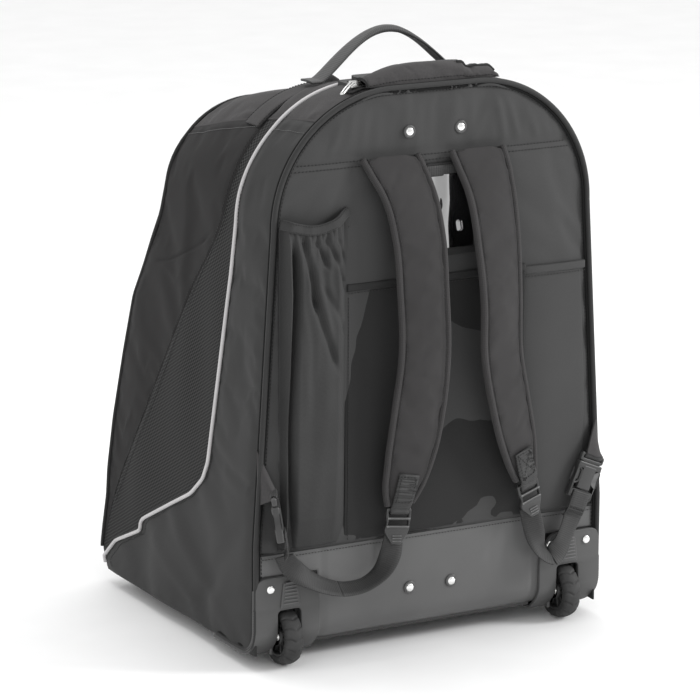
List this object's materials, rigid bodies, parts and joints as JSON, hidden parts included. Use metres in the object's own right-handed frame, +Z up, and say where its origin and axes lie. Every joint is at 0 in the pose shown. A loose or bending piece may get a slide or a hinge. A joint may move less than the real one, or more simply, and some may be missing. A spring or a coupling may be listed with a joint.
{
  "type": "hockey equipment bag",
  "caption": "Upright wheeled equipment bag with padded shoulder straps, pull handle, carry handle and a zipped front.",
  "frame": {"origin": "centre of the bag's box on the ground it stands on", "axes": "+Z up, the shoulder strap side faces -Y, the zipped front faces +Y, +X to the right as the strap side is seen"},
  "size_m": [0.4681, 0.4455, 0.7101],
  "materials": {
    "gusset_fabric": "smooth coated polyester, dark grey",
    "mesh_fabric": "open black warp-knit mesh",
    "front_fabric": "matte near-black plain weave",
    "canvas": "dark grey canvas",
    "back_fabric": "dark grey smooth padded back fabric",
    "pocket_fabric": "stretch knit",
    "kick_plastic": "satin sheet",
    "board_plastic": "matte black",
    "housing_plastic": "fine grained moulded grey",
    "hardware_plastic": "moulded acetal with a satin edge",
    "button_plastic": "semi-gloss grey",
    "piping": "dark binding",
    "reflective": "silver reflective cord",
    "webbing": "ribbed polypropylene webbing",
    "zip_tape": "black coil zip tape",
    "zip_metal": "polished zinc",
    "tube_metal": "satin anodised",
    "rivet_metal": "bright nickel plated",
    "tread": "matte black rubber",
    "vinyl": "clear glossy vinyl"
  },
  "bodies": {
    "bag": {"back_panel": "back_fabric", "kick_panel": "kick_plastic", "bottom_panel": "gusset_fabric", "base_board": "board_plastic", "side_gusset_left": "gusset_fabric", "side_gusset_right": "gusset_fabric", "mesh_panel_left": "mesh_fabric", "mesh_panel_right": "mesh_fabric", "front_side_left": "front_fabric", "front_side_right": "front_fabric", "top_panel": "canvas", "top_band_left": "canvas", "top_band_right": "canvas", "front_border": "front_fabric", "main_zip": "zip_tape", "back_piping": "piping", "reflective_piping_left": "reflective", "reflective_piping_right": "reflective", "front_piping": "piping", "bottle_pocket": "pocket_fabric", "slip_pocket": "pocket_fabric", "id_frame": "board_plastic", "id_window": "vinyl", "zip_deck": "zip_tape", "handle_tray": "board_plastic", "handle_outer_tubes": "tube_metal", "handle_brackets": "board_plastic", "back_rivets": "rivet_metal", "handle_anchors": "webbing", "wheel_housing_left": "housing_plastic", "wheel_housing_right": "housing_plastic", "housing_rivets": "rivet_metal", "axles": "rivet_metal", "front_feet": "hardware_plastic", "strap_webbing_left": "webbing", "strap_webbing_right": "webbing", "strap_tabs": "hardware_plastic"},
    "front_flap": {"front_flap": "front_fabric", "main_zip_sliders": "zip_metal"},
    "main_zip_pull_left": {"main_zip_pull_left": "zip_metal"},
    "main_zip_pull_right": {"main_zip_pull_right": "zip_metal"},
    "storm_flap": {"storm_flap": "canvas"},
    "top_zip_slider": {"top_zip_slider": "zip_metal"},
    "top_zip_pull": {"top_zip_pull": "zip_metal"},
    "pull_handle": {"handle_inner_tubes": "tube_metal", "handle_grip": "board_plastic"},
    "handle_button": {"handle_button": "button_plastic"},
    "carry_handle": {"carry_handle": "webbing"},
    "wheel_left": {"tyre_left": "tread", "hub_left": "hardware_plastic", "wheel_bearings_left": "rivet_metal"},
    "wheel_right": {"tyre_right": "tread", "hub_right": "hardware_plastic", "wheel_bearings_right": "rivet_metal"},
    "strap_left": {"strap_pad_left": "canvas"},
    "strap_right": {"strap_pad_right": "canvas"},
    "ladder_lock_left": {"ladder_lock_left": "hardware_plastic"},
    "ladder_lock_right": {"ladder_lock_right": "hardware_plastic"},
    "buckle_left": {"buckle_left": "hardware_plastic"},
    "buckle_right": {"buckle_right": "hardware_plastic"}
  },
  "joints": [
    {"name": "front_flap_open", "type": "hinge", "parent": "bag", "child": "front_flap", "pos_m": [0, 0.2132, 0.077], "axis": [-1, 0, 0], "range_deg": [0, 100]},
    {"name": "main_zip_pull_left_swing", "type": "hinge", "parent": "front_flap", "child": "main_zip_pull_left", "pos_m": [-0.009, 0.07486, 0.58909], "axis": [-1, 0, 0], "range_deg": [-150, 0]},
    {"name": "main_zip_pull_right_swing", "type": "hinge", "parent": "front_flap", "child": "main_zip_pull_right", "pos_m": [0.009, 0.07486, 0.58909], "axis": [-1, 0, 0], "range_deg": [-150, 0]},
    {"name": "storm_flap_open", "type": "hinge", "parent": "bag", "child": "storm_flap", "pos_m": [0, -0.18, 0.661], "axis": [1, 0, 0], "range_deg": [0, 58]},
    {"name": "top_zip_slide", "type": "slide", "parent": "bag", "child": "top_zip_slider", "axis": [1, 0, 0], "range_m": [0, 0.15]},
    {"name": "top_zip_pull_swing", "type": "hinge", "parent": "top_zip_slider", "child": "top_zip_pull", "pos_m": [-0.092, -0.165, 0.6662], "axis": [0, 1, 0], "range_deg": [0, 28]},
    {"name": "pull_handle_slide", "type": "slide", "parent": "bag", "child": "pull_handle", "axis": [0, 0, 1], "range_m": [0, 0.4]},
    {"name": "handle_button_press", "type": "slide", "parent": "pull_handle", "child": "handle_button", "axis": [0, 0, -1], "range_m": [0, 0.004], "stiffness_N_per_m": 600, "springref_m": -0.001},
    {"name": "carry_handle_fold", "type": "hinge", "parent": "bag", "child": "carry_handle", "pos_m": [0, -0.07, 0.656], "axis": [1, 0, 0], "range_deg": [-28, 28]},
    {"name": "wheel_left_spin", "type": "hinge", "parent": "bag", "child": "wheel_left", "pos_m": [-0.187, -0.1714, 0.0345], "axis": [1, 0, 0], "continuous": true},
    {"name": "wheel_right_spin", "type": "hinge", "parent": "bag", "child": "wheel_right", "pos_m": [0.187, -0.1714, 0.0345], "axis": [1, 0, 0], "continuous": true},
    {"name": "strap_left_swing", "type": "hinge", "parent": "bag", "child": "strap_left", "pos_m": [-0.062, -0.188, 0.584], "axis": [-1, 0, 0], "range_deg": [0, 8], "deforming": ["strap_webbing_left"]},
    {"name": "strap_right_swing", "type": "hinge", "parent": "bag", "child": "strap_right", "pos_m": [0.052, -0.188, 0.584], "axis": [-1, 0, 0], "range_deg": [0, 8], "deforming": ["strap_webbing_right"]},
    {"name": "ladder_lock_left_tilt", "type": "hinge", "parent": "strap_left", "child": "ladder_lock_left", "pos_m": [-0.053, -0.202, 0.172], "axis": [-0.9903, 0, 0.1392], "range_deg": [0, 35], "deforming": ["strap_webbing_left"]},
    {"name": "ladder_lock_right_tilt", "type": "hinge", "parent": "strap_right", "child": "ladder_lock_right", "pos_m": [0.12, -0.202, 0.18], "axis": [-0.9531, -0.2079, -0.22], "range_deg": [0, 35], "deforming": ["strap_webbing_right"]},
    {"name": "buckle_left_release", "type": "slide", "parent": "bag", "child": "buckle_left", "axis": [0.1736, 0, -0.9848], "range_m": [0, 0.04], "deforming": ["strap_webbing_left"]},
    {"name": "buckle_right_release", "type": "slide", "parent": "bag", "child": "buckle_right", "axis": [-0.3907, 0, -0.9205], "range_m": [0, 0.04], "deforming": ["strap_webbing_right"]}
  ]
}
